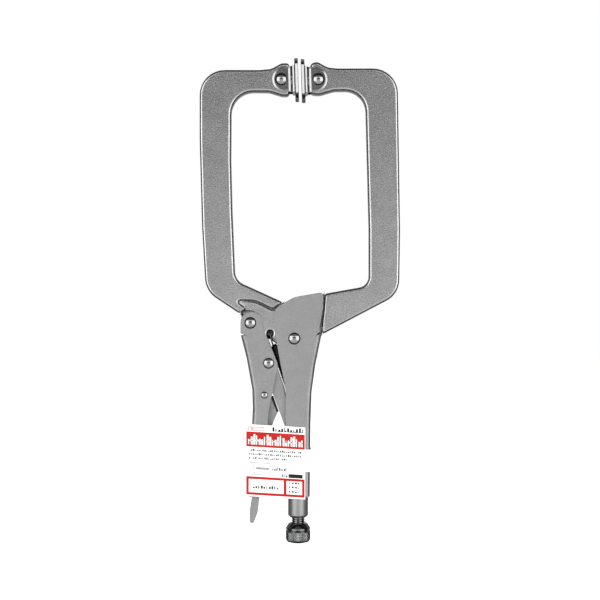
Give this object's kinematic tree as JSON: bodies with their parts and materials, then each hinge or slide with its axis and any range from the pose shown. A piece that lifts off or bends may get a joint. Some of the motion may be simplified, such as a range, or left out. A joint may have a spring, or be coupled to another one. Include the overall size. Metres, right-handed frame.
{
  "type": "locking c clamp",
  "caption": "Locking C clamp with two forged arms, swivel pads, an over-centre lever, a release lever and an adjusting screw.",
  "frame": {"origin": "middle of the clamp's width and thickness, at the height of the adjusting knob's base, which the clamp stands on when it is upright", "axes": "+Z from the adjusting knob up to the pads, +X from the moving jaw to the fixed jaw, +Y away from the side shown with the card"},
  "size_m": [0.144, 0.024, 0.3491],
  "materials": {
    "plated_steel": "satin nickel plate",
    "polished_steel": "bright domed rivet",
    "dark_steel": "dark oxide",
    "card": "gloss printed card"
  },
  "bodies": {
    "fixed_side": {"fixed_handle": "plated_steel", "fixed_jaw": "plated_steel", "jaw_rivet": "polished_steel", "spring_pin": "dark_steel", "right_pad_rivet": "polished_steel", "card_panel": "card", "card_strap": "card"},
    "moving_side": {"moving_jaw": "plated_steel", "left_pad_rivet": "polished_steel", "return_spring": "dark_steel"},
    "lever": {"lever_handle": "plated_steel", "lever_rivet": "polished_steel", "link_rivet": "polished_steel", "release_rivet": "polished_steel"},
    "link": {"toggle_link": "plated_steel"},
    "release": {"release_lever": "plated_steel"},
    "left_pad": {"left_pad_plate": "plated_steel", "left_pad_clevis": "plated_steel"},
    "right_pad": {"right_pad_plate": "plated_steel", "right_pad_clevis": "plated_steel"},
    "screw": {"adjusting_screw": "dark_steel", "adjusting_knob": "dark_steel"}
  },
  "joints": [
    {"name": "jaw_swing", "type": "hinge", "parent": "fixed_side", "child": "moving_side", "pos_m": [-0.004, 0, 0.1473], "axis": [0, -1, 0], "range_deg": [0, 30], "deforming": ["return_spring"]},
    {"name": "lever_fold", "type": "hinge", "parent": "moving_side", "child": "lever", "pos_m": [-0.0355, 0, 0.1585], "axis": [0, -1, 0], "range_deg": [-69.4, 0]},
    {"name": "link_fold", "type": "hinge", "parent": "lever", "child": "link", "pos_m": [-0.0224, 0, 0.1296], "axis": [0, -1, 0], "range_deg": [0, 73.3]},
    {"name": "release_swing", "type": "hinge", "parent": "lever", "child": "release", "pos_m": [-0.0254, 0, 0.1068], "axis": [0, -1, 0], "range_deg": [0, 4.5]},
    {"name": "right_pad_swivel", "type": "hinge", "parent": "fixed_side", "child": "right_pad", "pos_m": [0.01325, 0, 0.333], "axis": [0, -1, 0], "range_deg": [-11, 11]},
    {"name": "left_pad_swivel", "type": "hinge", "parent": "moving_side", "child": "left_pad", "pos_m": [-0.01325, 0, 0.333], "axis": [0, -1, 0], "range_deg": [-11, 11]},
    {"name": "screw_travel", "type": "slide", "parent": "fixed_side", "child": "screw", "axis": [0, 0, -1], "range_m": [0, 0.018]}
  ],
  "couplings": [
    {"joint": "lever_fold", "follows": "jaw_swing", "ratio": -2.31},
    {"joint": "link_fold", "follows": "jaw_swing", "ratio": 2.44},
    {"joint": "left_pad_swivel", "follows": "right_pad_swivel", "ratio": 1}
  ]
}
